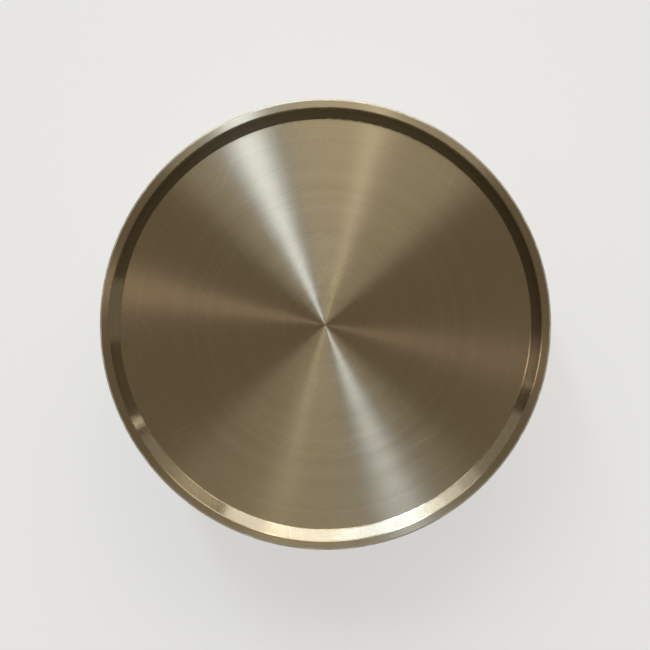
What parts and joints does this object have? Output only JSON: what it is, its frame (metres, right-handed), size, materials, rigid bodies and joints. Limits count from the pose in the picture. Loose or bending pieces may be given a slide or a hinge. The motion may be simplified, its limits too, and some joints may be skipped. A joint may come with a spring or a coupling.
{
  "type": "sputtering target",
  "caption": "Solid round metal deposition target: wide body, stepped and chamfered front face, and a shallow cone-walled recess in its back for a cooling plate.",
  "frame": {"origin": "centre of the front face, which is the lowest face as the target stands", "axes": "+Z along the turning axis, out of the recessed back; +X and +Y are any two square directions, because the form is round"},
  "size_m": [0.1, 0.1, 0.04],
  "materials": {
    "turned_titanium": "bare titanium with fine circular turning marks, satin on the cylinders and brighter on the cut edges"
  },
  "bodies": {
    "root": {"target_disc": "turned_titanium"}
  },
  "joints": []
}
